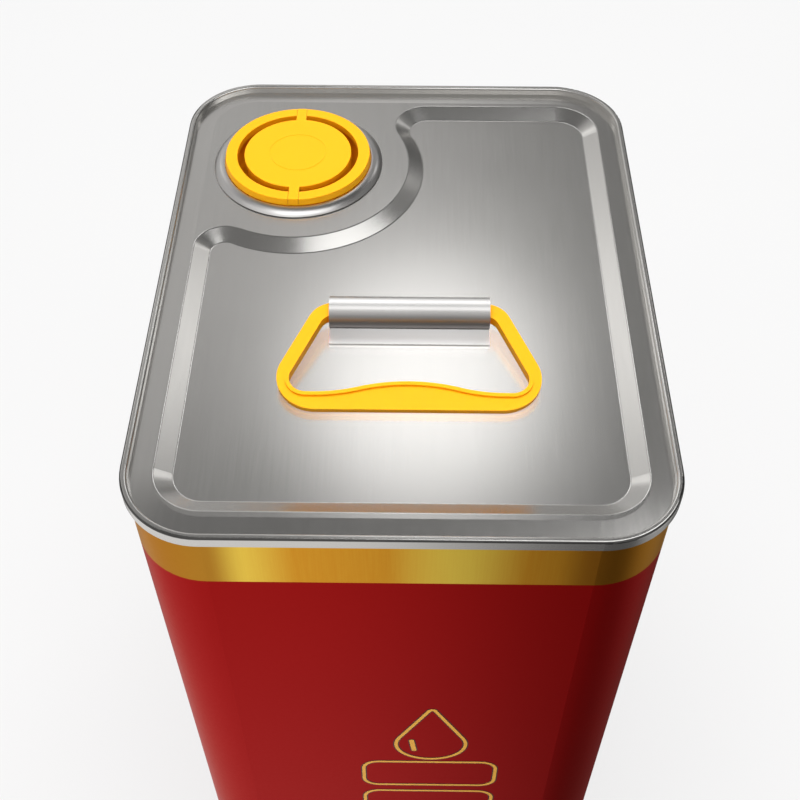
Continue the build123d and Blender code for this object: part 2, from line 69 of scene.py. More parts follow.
# ---------------------------------------------------------------------------
# A short way to write node materials
# ---------------------------------------------------------------------------
class Nodes:
    """Adds and joins the nodes of one tree."""

    def __init__(self, tree):
        self.tree = tree

    def feed(self, socket, value):
        """Joins another node's output to a socket, or sets the socket's own value."""
        if isinstance(value, bpy.types.NodeSocket):
            self.tree.links.new(value, socket)
        else:
            socket.default_value = value

    def calculate(self, operation, *values):
        node = self.tree.nodes.new("ShaderNodeMath")
        node.operation = operation
        for index, value in enumerate(values):
            self.feed(node.inputs[index], value)
        return node.outputs[0]

    def times(self, first, second):
        return self.calculate("MULTIPLY", first, second)

    def larger(self, first, second):
        return self.calculate("MAXIMUM", first, second)

    def rest_of(self, share):
        """One minus a share."""
        return self.calculate("SUBTRACT", 1.0, share)

    def remap(self, value, low, high, to_low=0.0, to_high=1.0, form="LINEAR"):
        """Value moved from one range to another and held inside it."""
        node = self.tree.nodes.new("ShaderNodeMapRange")
        node.interpolation_type = form
        for index, item in enumerate((value, low, high, to_low, to_high)):
            self.feed(node.inputs[index], item)
        return node.outputs[0]

    def ramp(self, value, edges):
        """Smooth change, for edges of (where it starts, where it ends, result before, result after)."""
        return self.remap(value, *edges, "SMOOTHSTEP")

    def mix(self, share, first, second):
        """Mix of two colours by a share from 0 to 1."""
        node = self.tree.nodes.new("ShaderNodeMix")
        node.data_type = "RGBA"
        self.feed(node.inputs[0], share)
        self.feed(node.inputs[6], first)
        self.feed(node.inputs[7], second)
        return node.outputs[2]

    def split(self, vector):
        node = self.tree.nodes.new("ShaderNodeSeparateXYZ")
        self.feed(node.inputs[0], vector)
        return node.outputs

    def join(self, x, y, z):
        node = self.tree.nodes.new("ShaderNodeCombineXYZ")
        for index, value in enumerate((x, y, z)):
            self.feed(node.inputs[index], value)
        return node.outputs[0]

    def vector(self, operation, first, second, output="Vector"):
        node = self.tree.nodes.new("ShaderNodeVectorMath")
        node.operation = operation
        self.feed(node.inputs[0], first)
        self.feed(node.inputs[1], second)
        return node.outputs[output]


class Paint(Nodes):
    """One node material round a Principled shader."""

    def __init__(self, name):
        self.material = bpy.data.materials.new(name)
        self.material.use_nodes = True
        super().__init__(self.material.node_tree)
        self.shader = self.tree.nodes["Principled BSDF"]
        spot = self.tree.nodes.new("ShaderNodeTexCoord").outputs
        self.place = spot["Object"]
        self.facing = spot["Normal"]

    def surface(self, **inputs):
        """Sets or joins the shader's sockets, such as Base_Color or Roughness."""
        for key, value in inputs.items():
            self.feed(self.shader.inputs[key.replace("_", " ")], value)

    def outward(self):
        """1 where the surface faces away from the can's upright axis, 0 where it faces it."""
        across = self.split(self.vector("MULTIPLY", self.facing, self.place))
        return self.calculate("GREATER_THAN", self.calculate("ADD", across[0], across[1]), 0.0)

    def noise(self, scale, detail=2.0, stretch=(1, 1, 1), place=None):
        """Noise from 0 to 1, in cells a metre; a small stretch factor draws the grain out along that axis."""
        spot = self.vector("MULTIPLY", self.place if place is None else place, stretch)
        node = self.tree.nodes.new("ShaderNodeTexNoise")
        self.feed(node.inputs["Vector"], spot)
        self.feed(node.inputs["Scale"], scale)
        self.feed(node.inputs["Detail"], detail)
        return node.outputs["Fac"]

    def bump(self, height, distance):
        """Joins a height, in units of distance metres, to the shader's normal."""
        node = self.tree.nodes.new("ShaderNodeBump")
        self.feed(node.inputs["Height"], height)
        self.feed(node.inputs["Distance"], distance)
        self.feed(self.shader.inputs["Normal"], node.outputs["Normal"])


def shade(red, green, blue):
    """Linear colour with full opacity."""
    return (red, green, blue, 1.0)


# ---------------------------------------------------------------------------
# Metals
# ---------------------------------------------------------------------------
CLOUDY = 3.0                    # noise detail of the slow clouds and of the rougher grains
METAL_CLOUD_SCALE = 18.0
METAL_TINT_SPAN = (0.25, 0.75)  # the part of the noise that turns the dark tint into the light one
CLOUD_SHARE = 0.6               # the clouds' share in the tint; the grain has the rest
GRAIN_GLOSS = 0.05              # how far the grain and the clouds change the roughness
CLOUD_GLOSS = 0.04

TIN_LIGHT = shade(0.70, 0.69, 0.67)
TIN_DARK = shade(0.63, 0.62, 0.60)
TIN_GRAIN_SCALE = 1500.0
TIN_GRAIN_STRETCH = (1.0, 0.03, 1.0)
TIN_ROUGHNESS = 0.21
TIN_RELIEF = 0.0003 * MM

# Painted shade: dark lines on the rim's outer curl and at the foot of its inner wall, where shade and dark
# reflections fall; tilt is how far the surface faces up, from 0 to 1
SEAM_PAINTED_SHADE = shade(0.03, 0.03, 0.03)
CURL_DEPTH = 0.9 * MM
CURL_TILT_FROM = (0.12, 0.30)
CURL_TILT_TO = (0.89, 0.98)
CURL_FRONT_SPAN = (-0.5, -0.1)
CURL_FRONT_SHARE = 0.82
CHUCK_FOOT = 3.0 * MM
FOOT_TILT_FROM = (0.08, 0.20)
FOOT_TILT_TO = (0.50, 0.66)
FOOT_SHARE = 0.75

STEEL_LIGHT = shade(0.74, 0.73, 0.72)
STEEL_DARK = shade(0.58, 0.57, 0.56)

STRAP_FINE_SCALE = 3800.0
STRAP_FINE_STRETCH = (0.012, 1.0, 1.0)
STRAP_COARSE_SCALE = 1500.0
STRAP_COARSE_STRETCH = (0.006, 1.0, 1.0)
STRAP_ROUGHNESS = 0.30
STRAP_RELIEF = 0.0012 * MM
STRAP_SHEET = 0.9 * MM
# Painted shade for the lower front of the eye, and a painted highlight that lightens the flange
EYE_PAINTED_SHADE = shade(0.11, 0.095, 0.09)
EYE_SHADE_SHARE = 0.85
FLANGE_PAINTED_HIGHLIGHT = shade(0.97, 0.96, 0.95)
FLANGE_HIGHLIGHT_SHARE = 0.8
EYE_RADIUS = 5.35 * MM
EYE_CENTRE = STRAP_LOW.z + EYE_RADIUS
EYE_SHADE_FADES_FROM = EYE_CENTRE - 0.2 * MM
EYE_SHADE_FADES_TO = EYE_CENTRE + 2.9 * MM

RING_GRAIN_SCALE = 3200.0
RING_TURN_STRETCH = 0.4 * MM    # how far through the noise one radian goes
RING_ROUGHNESS = 0.27
RING_RELIEF = 0.0003 * MM


def grained_metal(paint, light, dark, roughness, grain, relief):
    """Metal whose gloss and height follow a grain value; gives back its tint, which follows it too."""
    cloud = paint.noise(METAL_CLOUD_SCALE, CLOUDY)
    blend = paint.calculate("MULTIPLY_ADD", cloud, CLOUD_SHARE, paint.times(grain, 1.0 - CLOUD_SHARE))
    uneven = paint.calculate("MULTIPLY_ADD", grain, GRAIN_GLOSS, roughness - GRAIN_GLOSS / 2)
    tint = paint.mix(paint.remap(blend, *METAL_TINT_SPAN), dark, light)
    paint.surface(
        Base_Color=tint,
        Metallic=1.0,
        Roughness=paint.calculate("MULTIPLY_ADD", cloud, CLOUD_GLOSS, uneven),
    )
    paint.bump(grain, relief)
    return tint


def tinplate():
    """Rolled tinplate: a fine stone-finish grain along the sheet, with two dark lines of painted shade.

    One is painted on the outer curl of the rim, a little fainter in front, and the other at the foot of the
    rim's inner wall, in the corner where shade falls.
    """
    paint = Paint("tinplate_rolled")
    grain = paint.noise(TIN_GRAIN_SCALE, CLOUDY, TIN_GRAIN_STRETCH)
    tint = grained_metal(paint, TIN_LIGHT, TIN_DARK, TIN_ROUGHNESS, grain, TIN_RELIEF)
    outward = paint.outward()
    height = paint.split(paint.place)[2]
    toward, tilt = paint.split(paint.facing)[1:]

    # Painted shade on the outer curl of the rim, a little fainter in front
    curl = paint.times(paint.remap(tilt, *CURL_TILT_FROM), paint.remap(tilt, *CURL_TILT_TO, 1.0, 0.0))
    crest = paint.calculate("GREATER_THAN", height, RIM_Z - CURL_DEPTH)
    curl = paint.times(paint.times(outward, crest), curl)
    curl = paint.times(curl, paint.remap(toward, *CURL_FRONT_SPAN, CURL_FRONT_SHARE, 1.0))

    # Painted shade in the corner at the foot of the rim's inner wall
    foot = paint.times(paint.remap(tilt, *FOOT_TILT_FROM), paint.remap(tilt, *FOOT_TILT_TO, FOOT_SHARE, 0.0))
    foot = paint.times(foot, paint.calculate("LESS_THAN", height, RIM_Z - CHUCK_FOOT))
    foot = paint.times(foot, paint.rest_of(outward))

    paint.surface(Base_Color=paint.mix(paint.larger(curl, foot), tint, SEAM_PAINTED_SHADE))
    return paint.material


def strap_steel():
    """Brushed steel strip with lines along it, a painted highlight on the flange and painted shade low on the
    front of the rolled eye.
    """
    paint = Paint("strap_steel_brushed")
    fine = paint.noise(STRAP_FINE_SCALE, stretch=STRAP_FINE_STRETCH)
    coarse = paint.noise(STRAP_COARSE_SCALE, stretch=STRAP_COARSE_STRETCH)
    grain = paint.calculate("MULTIPLY_ADD", fine, 0.5, paint.times(coarse, 0.5))
    tint = grained_metal(paint, STEEL_LIGHT, STEEL_DARK, STRAP_ROUGHNESS, grain, STRAP_RELIEF)
    y, z = paint.split(paint.place)[1:]
    above_flange = paint.calculate("GREATER_THAN", z, STRAP_LOW.z + STRAP_SHEET)
    # Painted shade: the eye is darkened low on its front, where it reflects darker surroundings
    low = paint.ramp(z, (EYE_SHADE_FADES_FROM, EYE_SHADE_FADES_TO, 1.0, 0.0))
    front = paint.calculate("LESS_THAN", y, STRAP_HIGH.y - EYE_RADIUS)
    eye_shade = paint.times(paint.times(low, front), above_flange)
    # Painted highlight: the flange is lightened towards white, standing for the bright reflection it catches
    tint = paint.mix(paint.times(paint.rest_of(above_flange), FLANGE_HIGHLIGHT_SHARE), tint, FLANGE_PAINTED_HIGHLIGHT)
    paint.surface(Base_Color=paint.mix(paint.times(eye_shade, EYE_SHADE_SHARE), tint, EYE_PAINTED_SHADE))
    return paint.material


def ring_steel():
    """Spun steel: rings about the spout's axis."""
    paint = Paint("ring_steel_spun")
    x, y, z = paint.split(paint.vector("SUBTRACT", paint.place, (SPOUT_X, SPOUT_Y, 0.0)))
    radius = paint.calculate("SQRT", paint.calculate("ADD", paint.times(x, x), paint.times(y, y)))
    turn = paint.calculate("ARCTAN2", y, x)
    place = paint.join(radius, paint.times(turn, RING_TURN_STRETCH), z)
    grain = paint.noise(RING_GRAIN_SCALE, place=place)
    grained_metal(paint, STEEL_LIGHT, STEEL_DARK, RING_ROUGHNESS, grain, RING_RELIEF)
    return paint.material


# ---------------------------------------------------------------------------
# Printed body
# ---------------------------------------------------------------------------
GOLD_BAND_FOOT = RIM_Z - 25.0 * MM
WELD_MARGIN = 4.0 * MM
RED_LIGHT = shade(0.355, 0.0035, 0.0035)
RED_DARK = shade(0.325, 0.003, 0.003)
# Light and dark gold are the two ends of the painted sheen; the end colour is painted shade for the ends of
# the front and back
GOLD_LIGHT = shade(1.0, 0.75, 0.11)
GOLD_DARK = shade(0.76, 0.32, 0.022)
GOLD_END_PAINTED_SHADE = shade(0.42, 0.155, 0.014)
INK_METAL = 0.75                # how much of the tin shows through the red print
INK_SPECULAR = 0.2
EDGE_TINT = shade(1.0, 0.40, 0.35)
GOLD_EDGE_TINT = shade(1.0, 0.80, 0.55)

FOIL_GRAIN_SCALE = 2600.0
FOIL_GRAIN_STRETCH = (1.0, 1.0, 0.02)
PRINT_CLOUD_SCALE = 14.0
PEEL_SCALE = 650.0              # orange peel of the lacquer
PEEL_GLOSS = 0.08
INK_RELIEF = 0.004 * MM
INK_ROUGHNESS = 0.30

# Painted sheen: upright bars of painted highlight across the gold band, and painted shade towards its ends
SHEEN_PITCH = 69.0 * MM
SHEEN_X = 17.0 * MM
SHEEN_SPAN = (-0.3, 1.0)        # the part of the cosine that turns dark gold into light gold
SHEEN_SHARE = 0.80              # the bars' share in the sheen; the grain has the rest
END_FROM = 45.0 * MM
END_TO = 57.0 * MM
END_SHADE_SHARE = 0.85
SIDE_FROM = 78.0 * MM
SIDE_TO = 82.0 * MM

FLECK_SCALE = 2500.0
FLECK_GLOSS = 0.15


def gold_foil(paint, x, y, grain):
    """Colour of the gold band, with broad upright bars of painted sheen: painted highlights that stand for
    reflections.

    The bars go by x on the front and back and by y on the sides, and the ends of the front and back are
    darkened with painted shade.
    """
    reach = paint.calculate("ABSOLUTE", x)
    side = paint.remap(reach, SIDE_FROM, SIDE_TO)
    along = paint.calculate("MULTIPLY_ADD", side, paint.calculate("SUBTRACT", y, x), x)
    phase = paint.times(paint.calculate("SUBTRACT", along, SHEEN_X), math.tau / SHEEN_PITCH)
    bars = paint.remap(paint.calculate("COSINE", phase), *SHEEN_SPAN)
    sheen = paint.calculate("MULTIPLY_ADD", grain, 1.0 - SHEEN_SHARE, paint.times(bars, SHEEN_SHARE))
    # Painted shade towards the ends of the front and back
    end_shade = paint.times(paint.ramp(reach, (END_FROM, END_TO, 0.0, END_SHADE_SHARE)), paint.rest_of(side))
    return paint.mix(end_shade, paint.mix(sheen, GOLD_DARK, GOLD_LIGHT), GOLD_END_PAINTED_SHADE)


def printed_tinplate():
    """Outside: red print under a gold band, with a bare strip at the welded seam. Inside: bare tin."""
    paint = Paint("tinplate_printed")
    x, y, z = paint.split(paint.place)
    off_weld = paint.calculate("GREATER_THAN", paint.calculate("ABSOLUTE", x), WELD_MARGIN)
    printed_side = paint.larger(off_weld, paint.calculate("LESS_THAN", y, 0.0))
    printed = paint.times(paint.outward(), printed_side)
    gold = paint.times(printed, paint.calculate("GREATER_THAN", z, GOLD_BAND_FOOT))
    red_print = paint.calculate("SUBTRACT", printed, gold)
    grain = paint.noise(FOIL_GRAIN_SCALE, stretch=FOIL_GRAIN_STRETCH)
    cloud = paint.noise(PRINT_CLOUD_SCALE, CLOUDY)
    peel = paint.noise(PEEL_SCALE)
    red = paint.mix(cloud, RED_DARK, RED_LIGHT)
    tin = paint.mix(grain, TIN_DARK, TIN_LIGHT)
    paint.surface(
        Base_Color=paint.mix(gold, paint.mix(printed, tin, red), gold_foil(paint, x, y, grain)),
        Metallic=paint.calculate("MULTIPLY_ADD", red_print, INK_METAL - 1.0, 1.0),
        Roughness=paint.calculate("MULTIPLY_ADD", peel, PEEL_GLOSS, INK_ROUGHNESS),
        Specular_IOR_Level=INK_SPECULAR,
        Specular_Tint=paint.mix(gold, EDGE_TINT, GOLD_EDGE_TINT),
    )
    paint.bump(peel, INK_RELIEF)
    return paint.material


def motif_ink(name, light, dark, metal):
    """Raised ink of the motif on the front, with a fine fleck."""
    paint = Paint(name)
    fleck = paint.noise(FLECK_SCALE, CLOUDY)
    paint.surface(
        Base_Color=paint.mix(fleck, dark, light),
        Metallic=metal,
        Roughness=paint.calculate("MULTIPLY_ADD", fleck, FLECK_GLOSS, INK_ROUGHNESS),
        Specular_IOR_Level=INK_SPECULAR,
    )
    paint.bump(fleck, INK_RELIEF)
    return paint.material


# ---------------------------------------------------------------------------
# Plastics, rubber and foam
# ---------------------------------------------------------------------------
MOULD_GRAIN_SCALE = 1800.0
MOULD_RELIEF = 0.006 * MM
MOULD_GLOSS = 0.12
MOULD_CLOUD_SCALE = 25.0
MOULD_SPECULAR = 0.25
LIGHT_REACH = (4.0 * MM, 2.0 * MM, 0.6 * MM)    # how deep red, green and blue light go in
# Painted light on the handle's underside, strongest where it faces straight down
UNDERSIDE_LIGHT_SPAN = (-0.6, 0.3)
UNDERSIDE_LIGHT_LEVEL = 0.06
FOAM_GRAIN_SCALE = 3200.0
FOAM_RELIEF = 0.03 * MM


def moulded_plastic(
    name, light, dark, roughness, grain_scale=MOULD_GRAIN_SCALE, relief=MOULD_RELIEF, soft=0.0, glow=None
):
    """Moulded plastic: a fine spark-eroded grain and slow changes of tint.

    A glow colour paints light onto the underside: emission on faces that point down, standing in for light
    bounced up from below.
    """
    paint = Paint(name)
    grain = paint.noise(grain_scale, CLOUDY)
    cloud = paint.noise(MOULD_CLOUD_SCALE, CLOUDY)
    paint.surface(
        Base_Color=paint.mix(cloud, dark, light),
        Roughness=paint.calculate("MULTIPLY_ADD", grain, MOULD_GLOSS, roughness - MOULD_GLOSS / 2),
        Specular_IOR_Level=MOULD_SPECULAR,
        Subsurface_Weight=soft,
        Subsurface_Radius=LIGHT_REACH,
        Subsurface_Scale=1.0,
    )
    # Painted light: emission on the faces that point down
    if glow:
        tilt = paint.split(paint.facing)[2]
        paint.surface(Emission_Color=glow, Emission_Strength=paint.remap(tilt, *UNDERSIDE_LIGHT_SPAN, UNDERSIDE_LIGHT_LEVEL, 0.0))
    paint.bump(grain, relief)
    return paint.material


def dress(material, *nodes):
    """Gives CAD nodes their material."""
    for node in nodes:
        mesh = NODES[node].data
        mesh.materials.clear()
        mesh.materials.append(material)


GOLD_INK = motif_ink("gold_ink", shade(0.86, 0.46, 0.05), shade(0.70, 0.33, 0.03), metal=0.2)
SHADOW_INK = motif_ink("painted_shadow_ink", shade(0.06, 0.008, 0.008), shade(0.04, 0.005, 0.005), metal=0.0)
YELLOWS = (shade(0.99, 0.45, 0.005), shade(0.96, 0.425, 0.004))
NATURALS = (shade(0.78, 0.77, 0.70), shade(0.70, 0.69, 0.62))
FOAMS = (shade(0.80, 0.80, 0.76), shade(0.70, 0.70, 0.66))
RUBBERS = (shade(0.05, 0.05, 0.05), shade(0.03, 0.03, 0.03))
COMPOUNDS = (shade(0.55, 0.50, 0.40), shade(0.45, 0.41, 0.33))
HANDLE_PAINTED_LIGHT = shade(1.0, 0.38, 0.01)
YELLOW = moulded_plastic("yellow_polypropylene", *YELLOWS, roughness=0.38, soft=0.1)
OPEN_YELLOW = moulded_plastic(
    "yellow_polypropylene_handle", *YELLOWS, roughness=0.38, soft=0.2, glow=HANDLE_PAINTED_LIGHT
)
NATURAL = moulded_plastic("natural_polyethylene", *NATURALS, roughness=0.42, soft=0.3)
FOAM = moulded_plastic("liner_foam", *FOAMS, roughness=0.75, grain_scale=FOAM_GRAIN_SCALE, relief=FOAM_RELIEF)
RUBBER = moulded_plastic("gasket_rubber", *RUBBERS, roughness=0.6)
COMPOUND = moulded_plastic("sealing_compound", *COMPOUNDS, roughness=0.6)

dress(tinplate(), "top_end", "bottom_end")
dress(printed_tinplate(), "body_shell")
dress(strap_steel(), "handle_strap")
dress(ring_steel(), "crimp_ring")
dress(YELLOW, "cap", "bail_left", "bail_right", "spout_tube", "spout_skirt")
dress(OPEN_YELLOW, "handle")
dress(NATURAL, "tear_out_seal")
dress(FOAM, "cap_liner")
dress(RUBBER, "neck_gasket")
dress(COMPOUND, "top_seam_seal", "bottom_seam_seal")

# ---------------------------------------------------------------------------
# Front motif: an outlined oil drop over two plain outlined bars
# ---------------------------------------------------------------------------
ARC_STEP = math.radians(9.0)
LEAST_ARC_STEPS = 2
STROKE = 1.3 * MM
DARK_EDGE = 0.45 * MM
GOLD_PROUD = 0.10 * MM
DARK_PROUD = 0.05 * MM
PRINT_SINK = 0.05 * MM
MOTIF_X = 11.5 * MM
DROP_FOOT = RIM_Z - 139.0 * MM
DROP_HEAD = RIM_Z - 111.5 * MM
DROP_RADIUS = 13.0 * MM
DROP_TIP = 1.2 * MM
GLEAM_RADIUS = 0.9 * MM
GLEAM_ENDS = ((-7.2 * MM, 3.0 * MM), (-6.2 * MM, -5.0 * MM))    # from the middle of the drop's round foot
BAR_HALF = 25.5 * MM
BAR_ROUND = 6.0 * MM
BARS = ((RIM_Z - 177.0 * MM, RIM_Z - 155.0 * MM), (RIM_Z - 205.0 * MM, RIM_Z - 183.0 * MM))


def hull_loop(circles, grow):
    """Outline round a few (x, z, radius) circles, listed anticlockwise, moved out by grow."""
    points = []
    count = len(circles)
    normals = []
    for index in range(count):
        (x, z, radius), (next_x, next_z, next_radius) = circles[index], circles[(index + 1) % count]
        span = math.hypot(next_x - x, next_z - z)
        normals.append(math.atan2(next_z - z, next_x - x) - math.acos((radius - next_radius) / span))
    for index, (x, z, radius) in enumerate(circles):
        start, sweep = normals[index - 1], (normals[index] - normals[index - 1]) % math.tau
        steps = max(LEAST_ARC_STEPS, math.ceil(sweep / ARC_STEP))
        for step in range(steps + 1):
            angle = start + sweep * step / steps
            reach = radius + grow
            points.append((x + reach * math.cos(angle), z + reach * math.sin(angle)))
    return points


def add_stroke(shape, circles, half_width, proud):
    """Adds a closed line of the print, standing proud of the front wall."""
    loops = []
    for grow, y in (
        (half_width, FRONT_Y + PRINT_SINK), (half_width, FRONT_Y - proud),
        (-half_width, FRONT_Y - proud), (-half_width, FRONT_Y + PRINT_SINK),
    ):
        loops.append([shape.verts.new((x, y, z)) for x, z in hull_loop(circles, grow)])
    count = len(loops[0])
    for row, near in enumerate(loops):
        far = loops[(row + 1) % len(loops)]
        for index in range(count):
            after = (index + 1) % count
            shape.faces.new((near[index], near[after], far[after], far[index]))


def add_spot(shape, circles, grow, proud):
    """Adds a filled patch of the print, standing proud of the front wall."""
    outline = hull_loop(circles, grow)
    back = [shape.verts.new((x, FRONT_Y + PRINT_SINK, z)) for x, z in outline]
    face = [shape.verts.new((x, FRONT_Y - proud, z)) for x, z in outline]
    shape.faces.new(face)
    shape.faces.new(reversed(back))
    for index in range(len(outline)):
        after = (index + 1) % len(outline)
        shape.faces.new((back[index], back[after], face[after], face[index]))


def add_piece(name, shape, material, smooth=False):
    """Turns a bmesh into a piece with its material."""
    bmesh.ops.recalc_face_normals(shape, faces=shape.faces[:])
    mesh = bpy.data.meshes.new(name)
    shape.to_mesh(mesh)
    shape.free()
    mesh.materials.append(material)
    for polygon in mesh.polygons:
        polygon.use_smooth = smooth
    piece = bpy.data.objects.new(name, mesh)
    bpy.context.scene.collection.objects.link(piece)
    return piece


def add_motif(name, material, edge, proud):
    """The motif in one ink; edge widens every line of it on both sides."""
    drop = ((MOTIF_X, DROP_FOOT, DROP_RADIUS), (MOTIF_X, DROP_HEAD, DROP_TIP))
    gleam = tuple((MOTIF_X + x, DROP_FOOT + z, GLEAM_RADIUS) for x, z in GLEAM_ENDS)
    shape = bmesh.new()
    add_stroke(shape, drop, STROKE / 2 + edge, proud)
    add_spot(shape, gleam, edge, proud)
    left, right = MOTIF_X - BAR_HALF + BAR_ROUND, MOTIF_X + BAR_HALF - BAR_ROUND
    for foot, head in BARS:
        low, high = foot + BAR_ROUND, head - BAR_ROUND
        bar = tuple((x, z, BAR_ROUND) for x, z in ((left, low), (right, low), (right, high), (left, high)))
        add_stroke(shape, bar, STROKE / 2 + edge, proud)
    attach(add_piece(name, shape, material), "can")


# Painted shadow: a dark ink outline round every gold line, standing for the shade of the raised print
add_motif("motif_shadow", SHADOW_INK, DARK_EDGE, DARK_PROUD)
add_motif("motif_gold", GOLD_INK, 0.0, GOLD_PROUD)

# ---------------------------------------------------------------------------
# Folding skirt of the spout, which on the real can turns inside out as the spout is pulled up
# ---------------------------------------------------------------------------
SKIRT_SEGMENTS = 96
SKIRT_RINGS = 44
SKIRT_WALL = 0.8 * MM
SKIRT_RIB = 0.12 * MM
SKIRT_RIBS = 5
FLANGE_SHEET = 0.6 * MM
FLANGE_WIDTH = 1.7 * MM
FLANGE_FOOT = SKIRT_HIGH.z - FLANGE_SHEET
FLANGE_RADIUS = (SKIRT_HIGH.x - SKIRT_LOW.x) / 2
SKIRT_TOP_RADIUS = FLANGE_RADIUS - FLANGE_WIDTH
SKIRT_FOLD_RADIUS = 22.9 * MM
SKIRT_HOOK_RADIUS = 20.3 * MM


def skirt_profile():
    """Closed (radius, z) section of the skirt: flange, ribbed cone, fold and hook under the tube."""
    fold_top = SKIRT_LOW.z + SKIRT_WALL
    cone_top, cone_foot = Vector((SKIRT_TOP_RADIUS, FLANGE_FOOT)), Vector((SKIRT_FOLD_RADIUS, fold_top))
    slope = Vector((SKIRT_TOP_RADIUS - SKIRT_FOLD_RADIUS, FLANGE_FOOT - fold_top)).normalized()
    outward = Vector((slope.y, -slope.x))
    outer, inner = [], []
    for step in range(SKIRT_RINGS + 1):
        share = step / SKIRT_RINGS
        spot = cone_top.lerp(cone_foot, share)
        rib = SKIRT_RIB * (0.5 - 0.5 * math.cos(math.tau * SKIRT_RIBS * share))
        outer.append(spot - outward * rib)
        inner.append(spot - outward * (SKIRT_WALL + rib))
    head = [
        Vector((SKIRT_TOP_RADIUS - SKIRT_WALL, SKIRT_HIGH.z)),
        Vector((FLANGE_RADIUS, SKIRT_HIGH.z)),
        Vector((FLANGE_RADIUS, FLANGE_FOOT)),
    ]
    foot = [
        Vector((SKIRT_FOLD_RADIUS - SKIRT_WALL, SKIRT_LOW.z)),
        Vector((SKIRT_HOOK_RADIUS, SKIRT_LOW.z)),
        Vector((SKIRT_HOOK_RADIUS, fold_top)),
        Vector((SKIRT_FOLD_RADIUS - SKIRT_WALL, fold_top)),
    ]
    return head + outer + foot + inner[-2:0:-1]


def add_skirt():
    """The skirt's section turned about the spout's axis."""
    shape = bmesh.new()
    rings = []
    profile = skirt_profile()
    for index in range(SKIRT_SEGMENTS):
        turn = math.tau * index / SKIRT_SEGMENTS
        across, back = math.cos(turn), math.sin(turn)
        rings.append([shape.verts.new((SPOUT_X + r * across, SPOUT_Y + r * back, z)) for r, z in profile])
    for index in range(SKIRT_SEGMENTS):
        near, far = rings[index - 1], rings[index]
        for row in range(len(profile)):
            after = (row + 1) % len(profile)
            shape.faces.new((near[row], far[row], far[after], near[after]))
    skirt = add_piece("folding_skirt", shape, YELLOW, smooth=True)
    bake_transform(skirt)
    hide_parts("spout_skirt")


add_skirt()

# ---------------------------------------------------------------------------
# Camera
# ---------------------------------------------------------------------------
CAMERA_PLACE = (1.52 * MM, -294.50 * MM, 581.44 * MM)
CAMERA_PITCH = math.radians(49.826)
CAMERA_YAW = math.radians(-0.549)
CAMERA_ROLL = math.radians(0.123)
CAMERA_LENS = 53.16
CAMERA_NEAR = 10.0 * MM


def add_camera():
    """Camera from its place, its pitch below the horizon, its yaw to the right and its roll."""
    forward = Vector((
        math.sin(CAMERA_YAW) * math.cos(CAMERA_PITCH),
        math.cos(CAMERA_YAW) * math.cos(CAMERA_PITCH),
        -math.sin(CAMERA_PITCH),
    ))
    level = Vector((math.cos(CAMERA_YAW), -math.sin(CAMERA_YAW), 0.0))
    upright = level.cross(forward)
    right = math.cos(CAMERA_ROLL) * level + math.sin(CAMERA_ROLL) * upright
    up = right.cross(forward)
    data = bpy.data.cameras.new("camera")
    data.lens = CAMERA_LENS
    data.clip_start = CAMERA_NEAR
    camera = bpy.data.objects.new("camera", data)
    turn = Matrix((right, up, -forward)).transposed().to_4x4()
    camera.matrix_world = Matrix.Translation(CAMERA_PLACE) @ turn
    bpy.context.scene.collection.objects.link(camera)
    bpy.context.scene.camera = camera


# ---------------------------------------------------------------------------
# Floor and dome, which only the camera sees
# ---------------------------------------------------------------------------
STUDIO_RADIUS = 12.0
STUDIO_SEGMENTS = 96
STUDIO_CLOUD_SCALE = 6.0
STUDIO_ROUGHNESS = 0.9
GREY_STEP = 0.01
FLOOR_GREY = 0.18
FLOOR_GLOW = 0.72
DOME_GREY = 0.02
DOME_GLOW = 0.76


def add_set(name, shape, grey, glow):
    """A pale part of the studio that lights nothing and shows in no reflection."""
    mesh = bpy.data.meshes.new(name)
    shape.to_mesh(mesh)
    shape.free()
    item = bpy.data.objects.new(name, mesh)
    bpy.context.scene.collection.objects.link(item)
    paint = Paint(name)
    cloud = paint.noise(STUDIO_CLOUD_SCALE)
    paint.surface(
        Base_Color=paint.mix(cloud, shade(*[grey] * 3), shade(*[grey + GREY_STEP] * 3)),
        Roughness=STUDIO_ROUGHNESS,
        Specular_IOR_Level=0.0,
        Emission_Color=shade(1.0, 1.0, 1.0),
        Emission_Strength=glow,
    )
    mesh.materials.append(paint.material)
    item.visible_glossy = False
    item.visible_diffuse = False
    return item


def add_floor():
    """A wide pale disc under the can."""
    disc = bmesh.new()
    bmesh.ops.create_circle(disc, cap_ends=True, segments=STUDIO_SEGMENTS, radius=STUDIO_RADIUS)
    return add_set("studio_floor", disc, FLOOR_GREY, FLOOR_GLOW)


def add_dome():
    """A pale dome round the floor, cut off well below it, that casts no shadow."""
    dome = bmesh.new()
    bmesh.ops.create_uvsphere(
        dome, u_segments=STUDIO_SEGMENTS, v_segments=STUDIO_SEGMENTS // 2, radius=STUDIO_RADIUS
    )
    foot = [vert for vert in dome.verts if vert.co.z < -STUDIO_RADIUS / 2]
    bmesh.ops.delete(dome, geom=foot, context="VERTS")
    add_set("studio_dome", dome, DOME_GREY, DOME_GLOW).visible_shadow = False


